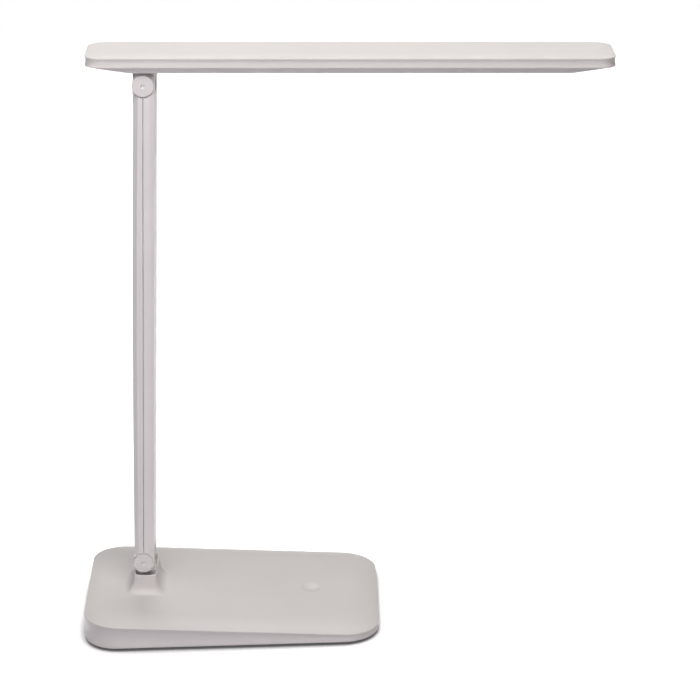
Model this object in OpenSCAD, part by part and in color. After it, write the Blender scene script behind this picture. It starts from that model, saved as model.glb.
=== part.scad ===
// Folding LED desk lamp: a wedge base, a leaning arm on a forked hinge, and a long flat head
// on a second forked hinge. The origin is on the table under the middle of the base, X runs
// along the head, Y runs to the back and Z is up. All sizes are in millimetres and degrees.

/* [Base] */
// Length of the base from the left end to the right end
base_l = 176; // [164:1:200]
// Width of the base from front to back
base_w = 116; // [104:1:130]
// Corner radius of the base in plan
base_corner_r = 21; // [14:0.5:26]
// Height of the rim above the table at the middle of the base
base_rim_h = 11.3; // [11:0.1:14]
// Slope of the top face, which falls towards the right end
base_slope = 3.64; // [3:0.02:4]
// Rise of the crowned top face above the rim
base_crown = 2.6; // [1.6:0.1:4]
// Width of the margin over which the crown rises
base_margin = 18; // [10:0.5:24]
// Wall thickness of the base shell
base_wall = 2.4; // [1.8:0.1:2.8]
// Height of the shell's lower edge above the bottom of the cover
cover_step = 1; // [0.6:0.1:1.6]
// Thickness of the bottom cover
cover_t = 2; // [1.8:0.1:2.6]
// Thickness of the anti-slip pad
pad_t = 0.9; // [0.6:0.1:1.4]
// Distance from the edge of the cover to the edge of the pad
pad_inset = 2.2; // [1:0.1:6]
// Thickness of the ballast plate
ballast_t = 5; // [3:0.1:5.4]
// Corner radius of the ballast plate
ballast_corner_r = 4; // [2:0.5:8]
// Gap between the ballast plate and the screw posts at the left end
ballast_post_gap = 3; // [1:0.1:6]
// Gap between the ballast plate and the touch board
ballast_board_gap = 10.7; // [2:0.1:14]
// Distance from each long side of the base to the ballast plate
ballast_inset = 13; // [11:0.5:20]

/* [Touch control and inlet] */
// Diameter of the touch dish
dish_d = 12.5; // [9:0.1:16]
// Depth of the touch dish
dish_depth = 0.9; // [0.5:0.1:1.2]
// Distance from the right end of the base to the middle of the dish
dish_inset = 40.3; // [34:0.1:42]
// Diameter of the touch board
touch_board_d = 18; // [14:0.5:20]
// Distance from the edge of the touch board to the conductive pad
touch_pad_inset = 3; // [2:0.1:5]
// Thickness of the conductive pad above the touch board
touch_pad_t = 1.2; // [0.8:0.1:1.4]
// Thickness of the circuit boards
board_t = 1.2; // [0.8:0.1:1.6]
// Width of the inlet's metal mouth
inlet_w = 9; // [8.6:0.1:10]
// Height of the inlet's metal mouth
inlet_h = 3.4; // [3.2:0.1:3.8]
// Depth of the inlet
inlet_depth = 7.4; // [6:0.1:8]
// Height of the inlet's middle above the table
inlet_z = 7.8; // [7.4:0.1:9]
// Distance from the end wall's outer face to the inlet's mouth
inlet_recess = 0.4; // [0.2:0.1:1]
// Wall thickness of the inlet's metal can
inlet_can_t = 0.35; // [0.3:0.05:0.5]
// Thickness of the back of the inlet
inlet_back_t = 1; // [0.6:0.1:1.4]
// Width of the inlet's tongue
tongue_w = 6.6; // [6:0.1:7]
// Thickness of the inlet's tongue
tongue_t = 0.7; // [0.6:0.05:0.8]
// Distance from the inlet's mouth to its tongue
tongue_recess = 1.2; // [0.8:0.1:1.6]
// Length of the inlet board
inlet_board_l = 18; // [12:0.5:18]
// Width of the inlet board
inlet_board_w = 18; // [14:0.5:22]
// Gap between the end wall and the inlet board
inlet_board_gap = 0.8; // [0.5:0.1:1.4]
// Radius of the posts under the inlet board
board_post_r = 2; // [1.5:0.1:2.5]
// Distance from the edges of the inlet board to its posts
board_post_inset = 3; // [2.6:0.1:4]

/* [Pedestal] */
// Distance from the left end of the base to the lower hinge axis
hinge_inset = 35.4; // [34:0.1:50]
// Height of the lower hinge axis above the top face of the base
axis_h = 20.1; // [19.2:0.1:26]
// Thickness of the pedestal along the base
boss_l = 13.8; // [12:0.1:15]
// Distance from the hinge axis to the middle of the pedestal, towards the right
boss_shift = 1.4; // [0:0.1:1.6]
// Height that the pedestal stands proud of the ears at front and back
boss_proud = 0.3; // [0.1:0.1:0.8]
// Corner radius of the pedestal in plan
boss_corner_r = 2.4; // [1.5:0.1:5]
// Distance from the hinge axis down to the shoulders of the pedestal
shoulder_drop = 7.7; // [7.4:0.1:8.4]
// Radius of the hollow that the shoulders have under the ears
cradle_r = 8; // [7.9:0.1:9]
// Radius of the blend at the foot of the pedestal
foot_r = 4.6; // [2:0.1:6]

/* [Hinges] */
// Width of each knuckle between the ears
knuckle_w = 12.8; // [11:0.1:14]
// Radius of each knuckle
knuckle_r = 6.1; // [5.6:0.1:6.3]
// Radius of the hinge screws
pin_r = 2; // [1.5:0.05:2.2]
// Radius of the heads of the hinge screws
pin_head_r = 3.4; // [3:0.1:3.6]
// Radius of the hinge nuts across their corners
nut_r = 3.8; // [3.4:0.1:3.85]
// Thickness of the heads of the hinge screws and of their nuts
pin_head_t = 2.4; // [1.8:0.1:2.8]
// Radius of the pocket in each ear for a head or nut
pocket_r = 4; // [3.9:0.1:4.4]
// Depth of the pocket in each ear
pocket_depth = 5; // [4.6:0.1:5.4]
// Thickness of the friction washers
washer_t = 0.4; // [0.3:0.05:0.6]
// Distance from the rim of each knuckle to its washers
washer_inset = 0.3; // [0.2:0.1:1]
// Diameter of the caps on the lower hinge
low_cap_d = 11.5; // [10.5:0.1:12.4]
// Diameter of the caps on the upper hinge
top_cap_d = 12.5; // [11.5:0.1:12.8]
// Height that each cap stands proud of its ear
cap_proud = 0.7; // [0.5:0.1:1]
// Bevel around the face of each cap
cap_bevel = 0.35; // [0.1:0.05:0.45]
// Length of the plug under each cap
cap_plug_l = 1.6; // [1:0.1:2]
// Diameter of the dimple in each cap
dimple_d = 2.6; // [1.5:0.1:3.2]
// Depth of the dimple in each cap
dimple_depth = 0.5; // [0.3:0.05:0.8]
// Gap between the knuckles and the solid root of each fork
bridge_gap = 0.4; // [0.3:0.1:1]

/* [Arm] */
// Distance from the lower hinge axis to the upper one
arm_l = 296.3; // [285:0.1:320]
// Lean of the arm to the right of upright
arm_lean = 2.92; // [0:0.02:6]
// Depth of the arm from front to back
arm_w = 30.4; // [29:0.1:33]
// Thickness of the front shell, right of the seam
front_t = 6.5; // [6.4:0.05:6.8]
// Thickness of the rear cover at its ends, left of the seam
rear_t = 5.7; // [5.2:0.1:6]
// Bow of the rear cover at its middle
rear_bow = 0.6; // [0.2:0.05:1]
// Width of the rear cover's narrow face, from the seam to its bevel, at the ends of the arm
rear_face_w = 2.8; // [2:0.1:3.4]
// Depth of the bevel along the rear cover, from front to back
rear_bevel_d = 2.6; // [1:0.1:3.4]
// Width of the facet along the front shell's right-hand edges
facet_w = 2.5; // [1:0.1:3]
// Depth of the facet along the front shell's right-hand edges
facet_d = 0.7; // [0.3:0.05:1]
// Width of the groove along the seam between the shells
seam_w = 0.5; // [0.2:0.05:0.8]
// Depth of the groove along the seam between the shells
seam_depth = 0.5; // [0.2:0.05:0.8]
// Wall thickness of the arm shells
arm_wall = 1.7; // [1.4:0.1:2]
// Distance from the hinge axis to the shoulders of the ears, where the rear cover ends
cover_start = 5.3; // [4.5:0.1:6]
// Width that the ears reach past the rear cover's outer face
ear_lap = 0.2; // [0:0.1:0.5]
// Length of the solid root of each fork, from the hinge axis
fork_root = 14; // [12:0.5:18]
// Thickness of the arm stiffener
stiffener_t = 2; // [1:0.1:2.4]
// Width of the arm stiffener
stiffener_w = 22; // [16:0.5:24]
// Radius of each lead in the ribbon
lead_r = 0.6; // [0.4:0.05:0.7]
// Spacing of the leads, which are joined side by side
lead_pitch = 1.08; // [0.7:0.02:1.1]

/* [Head] */
// Length of the head
head_l = 300; // [280:1:305]
// Width of the head
head_w = 38.6; // [37:0.1:42]
// Corner radius of the head in plan
head_corner_r = 8.3; // [7:0.1:10]
// Tilt of the head, its right end down
head_tilt = 1.65; // [0:0.05:4]
// Distance from the left end of the head to the upper hinge axis
head_overhang = 32.7; // [31:0.1:40]
// Distance from the upper hinge axis to the underside of the tray
tray_gap = 8; // [7.8:0.1:9]
// Depth of the tray below the side wall
tray_d = 3.4; // [3:0.1:3.8]
// Height of the side wall
head_wall_h = 5.6; // [5.2:0.1:6.4]
// Rise of the crowned top above the rim
head_crown = 1.3; // [0.6:0.1:2]
// Length over which the crown rises at each end
head_margin_x = 18; // [12:0.5:26]
// Width over which the crown rises along each side
head_margin_y = 10; // [7:0.5:12]
// Wall thickness of the head shell
head_wall = 1.8; // [1.6:0.1:2]
// Wall thickness of the tray
tray_wall = 1.6; // [1.3:0.1:1.8]
// Height of the tray's lip inside the head shell
tray_lip = 2.6; // [1.5:0.1:3]
// Distance from each end of the head to the top of the tray's ramp
ramp_top = 5; // [4:0.1:8]
// Distance from each end of the head to the foot of the tray's ramp
ramp_foot = 25; // [20:0.1:25.4]

/* [Light] */
// Distance from the upper hinge axis to the start of the diffuser
window_start = 32; // [31:0.5:50]
// Distance from the right end of the head to the end of the diffuser
window_end = 30; // [27:0.5:50]
// Width of the diffuser
window_w = 26; // [22:0.5:27]
// Corner radius of the diffuser
window_corner_r = 3; // [1:0.1:5]
// Width that the diffuser's flange adds on each side
flange_w = 2; // [1.4:0.1:2]
// Thickness of the diffuser's flange
flange_t = 1; // [0.6:0.1:1.2]
// Thickness of the light guide
guide_t = 2.6; // [2:0.1:2.8]
// Thickness of the reflector sheet
reflector_t = 0.3; // [0.2:0.05:0.5]
// Spacing of the LEDs
led_pitch = 9; // [6:0.5:15]
// Length of each LED along the head
led_l = 2.8; // [2:0.1:3.6]
// Height of each LED
led_h = 1.8; // [1.2:0.1:1.8]
// Thickness of each LED
led_t = 0.8; // [0.6:0.1:1]
// Thickness of the LED boards
led_board_t = 1; // [0.6:0.1:1]
// Thickness of the bracket's flange inside the head
bracket_t = 2.4; // [2:0.1:2.6]
// Length of the bracket's flange to the right of the hinge axis
bracket_l = 26; // [24:0.5:27]
// Distance from the bracket's outer screws to the sides of its flange
bracket_edge = 3; // [2.8:0.1:4]
// Distance from the upper hinge axis to the first pair of head screws
head_screw_start = 11; // [10.6:0.1:12]
// Distance between the pairs of head screws
head_screw_pitch = 9; // [7:0.1:10]
// Distance from the middle of the head to each head screw
head_screw_y = 9; // [7:0.1:11]

/* [Screws] */
// Radius of the small screws
screw_r = 1.2; // [1:0.05:1.3]
// Radius of the heads of the small screws
screw_head_r = 2.4; // [2:0.1:2.6]
// Thickness of the heads of the small screws
screw_head_t = 1; // [0.8:0.1:1.1]
// Length of the small screws below the head
screw_l = 4; // [3.6:0.1:4.2]
// Radius of the posts that take the small screws
post_r = 3; // [2.8:0.1:3.4]
// Distance from the ends and sides of the base to its screws
base_screw_inset = 20; // [19:0.5:22]

/* [Fits] */
// Gap between moulded pieces that plug together
fit_gap = 0.15; // [0.1:0.01:0.2]
// Radial gap around a hinge screw
pin_gap = 0.05; // [0.02:0.01:0.1]
// Gap between a turning face and its neighbour
running_gap = 0.1; // [0.05:0.01:0.2]
// Radial gap between a screw's thread and what it is driven into
thread_gap = 0.05; // [0.02:0.01:0.08]
// Depth that the heads of the small screws lie below the face around them
screw_recess = 0.1; // [0.05:0.05:0.3]

/* [Hidden] */

$fn = 64;
dish_fn = 160;
hull_fn = 40;
lead_fn = 24;
nut_fn = 6;
// Overlap of pieces that are joined, and of cutting shapes past the faces that they cut
eps = 0.01;
cut = 1;
// Slices of the crowned tops: their thickness, their count and the share of the corner radius
// that is gone at the highest one
slice_t = 0.05;
crown_steps = 6;
crown_draw = 0.4;
bow_steps = 12;
lead_count = 4;

shell_white = "#e6e2df";
cap_white = "#dcd8d4";
cover_grey = "#c9c4c1";
rubber_grey = "#6f6a68";
steel_grey = "#9a9ca0";
board_green = "#2f6b46";
brass_tint = "#b39a5a";
opal_white = "#f6f4ee";

// Heights and places that follow from the sizes above
shell_edge_z = pad_t + cover_step;
cover_top_z = pad_t + cover_t;
cover_inset = base_wall + fit_gap;
low_x = hinge_inset - base_l / 2;
low_z = base_rim_h - low_x * tan(base_slope) + (base_crown + axis_h) / cos(base_slope);
top_x = low_x + arm_l * sin(arm_lean);
top_z = low_z + arm_l * cos(arm_lean);
dish_x = base_l / 2 - dish_inset;
dish_ball_r = (pow(dish_d / 2, 2) + pow(dish_depth, 2)) / (2 * dish_depth);
ear_in = knuckle_w / 2 + washer_t + running_gap;
pocket_floor = arm_w / 2 - pocket_depth;
ear_left = rear_t + ear_lap;
bridge_z = knuckle_r + bridge_gap;
boss_w = arm_w + 2 * boss_proud;
head_mid = head_l / 2 - head_overhang;
wall_low = tray_gap + tray_d;
rim_z = wall_low + head_wall_h;
tray_inset = head_wall + fit_gap;
tray_floor = tray_gap + tray_wall;
tray_top = wall_low + tray_lip;
window_l = head_l - head_overhang - window_start - window_end;
window_mid = window_start + window_l / 2;
guide_low = tray_floor + flange_t;
screw_sink = screw_head_t + screw_recess;
bracket_top = tray_floor + bracket_t;
ballast_x0 = -base_l / 2 + base_screw_inset + post_r + ballast_post_gap;
ballast_x1 = dish_x - touch_board_d / 2 - ballast_board_gap;
inlet_board_x = -base_l / 2 + base_wall + inlet_board_gap;
inlet_board_z = inlet_z - inlet_h / 2 - board_t;

// Frames that the pieces are drawn in
module at_rim() {
    translate([0, 0, base_rim_h]) rotate([0, base_slope, 0]) children();
}
module at_pedestal() {
    translate([low_x, 0, low_z]) rotate([0, base_slope, 0]) children();
}
module at_arm() {
    translate([low_x, 0, low_z]) rotate([0, arm_lean, 0]) children();
}
module at_head() {
    translate([top_x, 0, top_z]) rotate([0, head_tilt, 0]) children();
}
module at_both_hinges() {
    at_arm() for (z = [0, arm_l]) translate([0, 0, z]) children();
}

// A cylinder along Y from y0 to y1
module y_cylinder(r, y0, y1) {
    translate([0, y0, 0]) rotate([-90, 0, 0]) cylinder(r = r, h = y1 - y0);
}

// An outline in X and Z, given depth along Y from y0 to y1
module y_extrude(y0, y1) {
    translate([0, y1, 0]) rotate([90, 0, 0]) linear_extrude(y1 - y0) children();
}

module rounded_rect(l, w, r) {
    square([l - 2 * r, w], center = true);
    square([l, w - 2 * r], center = true);
    for (sx = [-1, 1], sy = [-1, 1]) {
        translate([sx * (l / 2 - r), sy * (w / 2 - r)]) circle(r);
    }
}

module corner_posts(l, w, r) {
    for (sx = [-1, 1], sy = [-1, 1]) {
        translate([sx * (l / 2 - r), sy * (w / 2 - r), -slice_t])
            cylinder(r = r, h = slice_t, $fn = hull_fn);
    }
}

// Thin slices that, hulled, make a crisp rim and a soft crown above it
module crown_slices(l, w, r, margin_x, margin_y, crown) {
    for (i = [0 : crown_steps]) {
        t = i / crown_steps;
        translate([0, 0, crown * (1 - pow(1 - t, 2))])
            corner_posts(l - 2 * margin_x * t, w - 2 * margin_y * t, r * (1 - crown_draw * t));
    }
}

// The wedge of the base, drawn in by inset all round and down by drop
module base_form(inset, drop, low) {
    hull() {
        translate([0, 0, low + slice_t])
            corner_posts(base_l - 2 * inset, base_w - 2 * inset, base_corner_r - inset);
        translate([0, 0, -drop]) at_rim()
            crown_slices((base_l - 2 * inset) / cos(base_slope), base_w - 2 * inset,
                         base_corner_r - inset, base_margin, base_margin, base_crown);
    }
}

module base_screw_places() {
    for (sx = [-1, 1], sy = [-1, 1]) {
        translate([sx * (base_l / 2 - base_screw_inset), sy * (base_w / 2 - base_screw_inset), 0])
            children();
    }
}

module fillet_profile(r) {
    difference() {
        square([r, r]);
        translate([r, r]) circle(r);
    }
}

// A hollow blend around the foot of a block of l by w with rounded corners
module foot_blend(l, w, corner_r, r) {
    for (side = [0, 180]) {
        rotate([0, 0, side]) {
            translate([l / 2, w / 2 - corner_r, 0]) rotate([90, 0, 0])
                linear_extrude(w - 2 * corner_r) fillet_profile(r);
            translate([-l / 2 + corner_r, w / 2, 0]) rotate([90, 0, 90])
                linear_extrude(l - 2 * corner_r) fillet_profile(r);
        }
    }
    for (sx = [0, 1], sy = [0, 1]) {
        mirror([sx, 0, 0]) mirror([0, sy, 0])
            translate([l / 2 - corner_r, w / 2 - corner_r, 0])
                rotate_extrude(angle = 90) translate([corner_r, 0]) fillet_profile(r);
    }
}

module pedestal() {
    difference() {
        translate([boss_shift, 0, -axis_h]) {
            translate([0, 0, -base_wall / 2])
                linear_extrude(axis_h + base_wall / 2 - shoulder_drop)
                    rounded_rect(boss_l, boss_w, boss_corner_r);
            translate([0, 0, -eps]) foot_blend(boss_l - eps, boss_w - eps, boss_corner_r, foot_r);
        }
        y_cylinder(cradle_r, -boss_w, boss_w);
    }
    y_cylinder(knuckle_r, -knuckle_w / 2, knuckle_w / 2);
    translate([-knuckle_r, -knuckle_w / 2, -axis_h]) cube([2 * knuckle_r, knuckle_w, axis_h]);
}

// An upright slot outline, w wide and h high, with round ends
module slot(w, h) {
    square([w - h, h], center = true);
    for (s = [-1, 1]) translate([s * (w - h) / 2, 0]) circle(d = h);
}

// Places children with their Z axis along +X, from the left end wall at the inlet's height
module at_inlet(depth) {
    translate([-base_l / 2 + depth, 0, inlet_z]) rotate([90, 0, 90]) children();
}

module base_shell() {
    color(shell_white) difference() {
        union() {
            base_form(0, 0, shell_edge_z);
            at_pedestal() pedestal();
        }
        difference() {
            base_form(base_wall, base_wall, shell_edge_z - cut);
            base_screw_places() translate([0, 0, cover_top_z]) cylinder(r = post_r, h = base_rim_h * 2);
        }
        at_rim() translate([dish_x, 0, base_crown - dish_depth + dish_ball_r])
            sphere(dish_ball_r, $fn = dish_fn);
        at_inlet(-eps) linear_extrude(base_wall + cut) slot(inlet_w + 2 * fit_gap, inlet_h + 2 * fit_gap);
        base_screw_places() translate([0, 0, cover_top_z - eps])
            cylinder(r = screw_r, h = screw_sink + screw_l - cover_t + fit_gap);
        at_pedestal() y_cylinder(pin_r + pin_gap, -knuckle_w, knuckle_w);
    }
}

module inlet_posts() {
    for (x = [board_post_inset, inlet_board_l - board_post_inset], sy = [-1, 1]) {
        translate([inlet_board_x + x, sy * (inlet_board_w / 2 - board_post_inset), cover_top_z - eps])
            children();
    }
}

module bottom_cover() {
    color(cover_grey) {
        difference() {
            translate([0, 0, pad_t]) linear_extrude(cover_t)
                rounded_rect(base_l - 2 * cover_inset, base_w - 2 * cover_inset,
                             base_corner_r - cover_inset);
            base_screw_places() {
                translate([0, 0, pad_t - eps])
                    cylinder(r = screw_head_r + fit_gap, h = screw_sink + 2 * eps);
                cylinder(r = screw_r + fit_gap, h = cover_top_z + cut);
            }
        }
        inlet_posts() cylinder(r = board_post_r, h = inlet_board_z - cover_top_z + eps);
    }
}

module anti_slip_pad() {
    inset = cover_inset + pad_inset;
    color(rubber_grey) linear_extrude(pad_t)
        rounded_rect(base_l - 2 * inset, base_w - 2 * inset, base_corner_r - inset);
}

module ballast_plate() {
    color(steel_grey) translate([(ballast_x0 + ballast_x1) / 2, 0, cover_top_z])
        linear_extrude(ballast_t)
            rounded_rect(ballast_x1 - ballast_x0, base_w - 2 * ballast_inset, ballast_corner_r);
}

module inlet_board() {
    color(board_green) translate([inlet_board_x, -inlet_board_w / 2, inlet_board_z])
        cube([inlet_board_l, inlet_board_w, board_t]);
}

module power_inlet() {
    hollow = inlet_depth - inlet_back_t;
    color(steel_grey) at_inlet(inlet_recess) {
        difference() {
            linear_extrude(inlet_depth) slot(inlet_w, inlet_h);
            translate([0, 0, -eps]) linear_extrude(hollow + eps)
                slot(inlet_w - 2 * inlet_can_t, inlet_h - 2 * inlet_can_t);
        }
        translate([0, 0, tongue_recess]) linear_extrude(hollow - tongue_recess + eps)
            square([tongue_w, tongue_t], center = true);
    }
}

module touch_board() {
    color(board_green) at_rim()
        translate([dish_x, 0, base_crown - base_wall - touch_pad_t - board_t])
            cylinder(d = touch_board_d, h = board_t);
}

module touch_pad() {
    color(rubber_grey) at_rim() translate([dish_x, 0, base_crown - base_wall - touch_pad_t])
        cylinder(d = touch_board_d - 2 * touch_pad_inset, h = touch_pad_t);
}

module small_screw() {
    cylinder(r = screw_head_r, h = screw_head_t);
    translate([0, 0, screw_head_t - eps]) cylinder(r = screw_r - thread_gap, h = screw_l + eps);
}

module base_screws() {
    color(steel_grey) base_screw_places() translate([0, 0, pad_t + screw_recess]) small_screw();
}

// Outline of one ear in X and Z, from the hinge axis towards the middle of the arm: a disc
// between two shoulders, with a straight root on the right
module ear_outline() {
    intersection() {
        union() {
            circle(front_t);
            translate([-front_t, 0]) square([2 * front_t, cover_start]);
        }
        translate([-ear_left, -front_t]) square([ear_left + front_t, 3 * front_t]);
    }
    square([front_t, fork_root]);
}

// The wedges that are taken off the right-hand edges of the front shell
module facet_wedges(h) {
    edge = arm_w / 2;
    for (side = [0, 1]) mirror([0, side, 0]) linear_extrude(h) polygon([
        [front_t - facet_w, edge], [front_t, edge - facet_d], [front_t + cut, edge - facet_d],
        [front_t + cut, edge + cut], [front_t - facet_w, edge + cut]]);
}

module fork() {
    difference() {
        union() {
            for (side = [0, 1]) mirror([0, side, 0]) y_extrude(ear_in, arm_w / 2) ear_outline();
            translate([0, -arm_w / 2, bridge_z]) cube([front_t, arm_w, fork_root - bridge_z]);
        }
        y_cylinder(pin_r + pin_gap, -arm_w, arm_w);
        y_cylinder(pocket_r, -arm_w, -pocket_floor);
        y_cylinder(pocket_r, pocket_floor, arm_w);
        difference() {
            facet_wedges(fork_root + cut);
            y_cylinder(front_t, -arm_w, arm_w);
        }
    }
}

module front_profile() {
    difference() {
        translate([0, -arm_w / 2]) square([front_t, arm_w]);
        translate([-cut, arm_wall - arm_w / 2]) square([front_t - arm_wall + cut, arm_w - 2 * arm_wall]);
        for (s = [-1, 1]) translate([0, s * arm_w / 2]) square([seam_w, 2 * seam_depth], center = true);
    }
}

module arm_front_shell() {
    color(shell_white) at_arm() {
        fork();
        translate([0, 0, arm_l]) mirror([0, 0, 1]) fork();
        difference() {
            translate([0, 0, fork_root - eps])
                linear_extrude(arm_l - 2 * fork_root + 2 * eps) front_profile();
            facet_wedges(arm_l);
        }
    }
}

// Side outline of the bowed cover in X and Z, from inside its seam out to an arc
module bow_outline(reach, z0, z1) {
    polygon(concat(
        [[arm_w, z0]],
        [for (i = [0 : bow_steps]) let (t = i / bow_steps)
            [-reach - rear_bow * sin(180 * t), z0 + (z1 - z0) * t]],
        [[arm_w, z1]]));
}

module arm_rear_cover() {
    z0 = cover_start + fit_gap;
    z1 = arm_l - z0;
    hollow_z = front_t + fit_gap + arm_wall;
    hollow_edge = max(arm_wall, rear_bevel_d);
    bevel_turn = atan2(rear_bevel_d, rear_t - rear_face_w);
    bevel_reach = rear_face_w * sin(bevel_turn) + arm_w / 2 * cos(bevel_turn);
    color(shell_white) at_arm() difference() {
        intersection() {
            translate([-2 * rear_t, -arm_w / 2, z0]) cube([2 * rear_t, arm_w, z1 - z0]);
            y_extrude(-arm_w, arm_w) bow_outline(rear_t, z0, z1);
            for (side = [0, 1]) mirror([0, side, 0]) rotate([0, 0, 90 - bevel_turn])
                y_extrude(-arm_w, arm_w) bow_outline(bevel_reach, z0, z1);
        }
        translate([arm_wall - rear_t, hollow_edge - arm_w / 2, hollow_z])
            cube([rear_t, arm_w - 2 * hollow_edge, arm_l - 2 * hollow_z]);
        for (z = [0, arm_l]) translate([0, 0, z]) y_cylinder(front_t + fit_gap, -arm_w, arm_w);
        for (s = [-1, 1]) translate([-seam_w / 2, s * arm_w / 2 - seam_depth, 0])
            cube([seam_w, 2 * seam_depth, arm_l]);
    }
}

module arm_stiffener() {
    z0 = fork_root + fit_gap;
    color(steel_grey) at_arm()
        translate([front_t - arm_wall - stiffener_t, -stiffener_w / 2, z0])
            cube([stiffener_t, stiffener_w, arm_l - 2 * z0]);
}

module arm_leads() {
    z0 = fork_root + fit_gap;
    color(rubber_grey) at_arm() for (i = [0 : lead_count - 1])
        translate([front_t - arm_wall - stiffener_t - lead_r, (i - (lead_count - 1) / 2) * lead_pitch, z0])
            cylinder(r = lead_r, h = arm_l - 2 * z0, $fn = lead_fn);
}

module hinge_screws() {
    color(steel_grey) at_both_hinges() {
        y_cylinder(pin_r, -pocket_floor - eps, pocket_floor + pin_head_t);
        y_cylinder(pin_head_r, -pocket_floor - pin_head_t, -pocket_floor);
    }
}

module hinge_nuts() {
    color(steel_grey) at_both_hinges() difference() {
        translate([0, pocket_floor, 0]) rotate([-90, 0, 0])
            cylinder(r = nut_r, h = pin_head_t, $fn = nut_fn);
        y_cylinder(pin_r + thread_gap, 0, arm_w);
    }
}

module friction_washers() {
    color(brass_tint) at_both_hinges() for (side = [0, 1]) mirror([0, side, 0]) difference() {
        y_cylinder(knuckle_r - washer_inset, ear_in - washer_t, ear_in);
        y_cylinder(pin_r + pin_gap, 0, arm_w);
    }
}

// A cap whose flat face looks along +Y, its seat on the ear at y = 0
module hinge_cap(d) {
    plug_r = pocket_r - fit_gap;
    dimple_ball_r = (pow(dimple_d / 2, 2) + pow(dimple_depth, 2)) / (2 * dimple_depth);
    difference() {
        rotate([-90, 0, 0]) rotate_extrude() polygon([
            [0, -cap_plug_l], [plug_r, -cap_plug_l], [plug_r, 0], [d / 2, 0],
            [d / 2, cap_proud - cap_bevel], [d / 2 - cap_bevel, cap_proud], [0, cap_proud]]);
        translate([0, cap_proud - dimple_depth + dimple_ball_r, 0]) sphere(dimple_ball_r);
    }
}

module cap_pair(z, d) {
    color(cap_white) at_arm() for (side = [0, 1]) mirror([0, side, 0])
        translate([0, arm_w / 2, z]) hinge_cap(d);
}

module lower_hinge_caps() {
    cap_pair(0, low_cap_d);
}

module upper_hinge_caps() {
    cap_pair(arm_l, top_cap_d);
}

// The crowned slab of the head, drawn in by inset all round and down by drop
module head_form(inset, drop, low) {
    l = head_l - 2 * inset;
    w = head_w - 2 * inset;
    r = head_corner_r - inset;
    translate([head_mid, 0, 0]) hull() {
        translate([0, 0, low + slice_t]) corner_posts(l, w, r);
        translate([0, 0, rim_z - drop])
            crown_slices(l, w, r, head_margin_x, head_margin_y, head_crown);
    }
}

module head_screw_places() {
    for (i = [0, 1], sy = [-1, 1])
        translate([head_screw_start + i * head_screw_pitch, sy * head_screw_y, 0]) children();
}

module head_top_shell() {
    color(shell_white) at_head() difference() {
        head_form(0, 0, wall_low);
        difference() {
            head_form(head_wall, head_wall, wall_low - cut);
            head_screw_places() translate([0, 0, bracket_top]) cylinder(r = screw_head_r, h = rim_z);
        }
        head_screw_places() translate([0, 0, bracket_top - eps])
            cylinder(r = screw_r, h = screw_sink + screw_l - bracket_t + fit_gap);
    }
}

// Side outline of the tray in X and Z, raised by lift and drawn in at its ends by inset
module tray_outline(inset, lift) {
    x0 = -head_overhang + inset;
    x1 = head_l - head_overhang - inset;
    polygon([
        [x0 + tray_inset, tray_top + lift], [x0 + tray_inset, wall_low + lift],
        [x0 + ramp_top, wall_low + lift], [x0 + ramp_foot, tray_gap + lift],
        [x1 - ramp_foot, tray_gap + lift], [x1 - ramp_top, wall_low + lift],
        [x1 - tray_inset, wall_low + lift], [x1 - tray_inset, tray_top + lift]]);
}

module tray_block(inset, lift) {
    l = head_l - 2 * (tray_inset + inset);
    w = head_w - 2 * (tray_inset + inset);
    intersection() {
        y_extrude(-head_w, head_w) tray_outline(inset, lift);
        translate([head_mid, 0, 0]) linear_extrude(tray_top + 2 * lift + cut)
            rounded_rect(l, w, head_corner_r - tray_inset - inset);
    }
}

module head_tray() {
    neck_l = 2 * (knuckle_r + fit_gap);
    neck_w = knuckle_w + 2 * fit_gap;
    color(shell_white) at_head() difference() {
        tray_block(0, 0);
        tray_block(tray_wall, tray_wall);
        translate([-neck_l / 2, -neck_w / 2, 0]) cube([neck_l, neck_w, tray_top]);
        translate([window_mid, 0, 0]) linear_extrude(tray_top)
            rounded_rect(window_l + 2 * fit_gap, window_w + 2 * fit_gap, window_corner_r + fit_gap);
    }
}

module diffuser() {
    color(opal_white) at_head() translate([window_mid, 0, tray_gap]) {
        linear_extrude(tray_wall + eps) rounded_rect(window_l, window_w, window_corner_r);
        translate([0, 0, tray_wall]) linear_extrude(flange_t)
            rounded_rect(window_l + 2 * flange_w, window_w + 2 * flange_w, window_corner_r);
    }
}

module light_guide() {
    color(opal_white) at_head() translate([window_start, -window_w / 2, guide_low])
        cube([window_l, window_w, guide_t]);
}

module reflector_sheet() {
    color(cap_white) at_head() translate([window_start, -window_w / 2, guide_low + guide_t])
        cube([window_l, window_w, reflector_t]);
}

module led_boards() {
    count = floor((window_l - 2 * led_l) / led_pitch);
    first_x = window_mid - (count - 1) / 2 * led_pitch - led_l / 2;
    color(board_green) at_head() for (side = [0, 1]) mirror([0, side, 0]) {
        translate([window_start, window_w / 2 + led_t, guide_low])
            cube([window_l, led_board_t, guide_t]);
        for (i = [0 : count - 1])
            translate([first_x + i * led_pitch, window_w / 2, guide_low + (guide_t - led_h) / 2])
                cube([led_l, led_t + eps, led_h]);
    }
}

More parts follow.
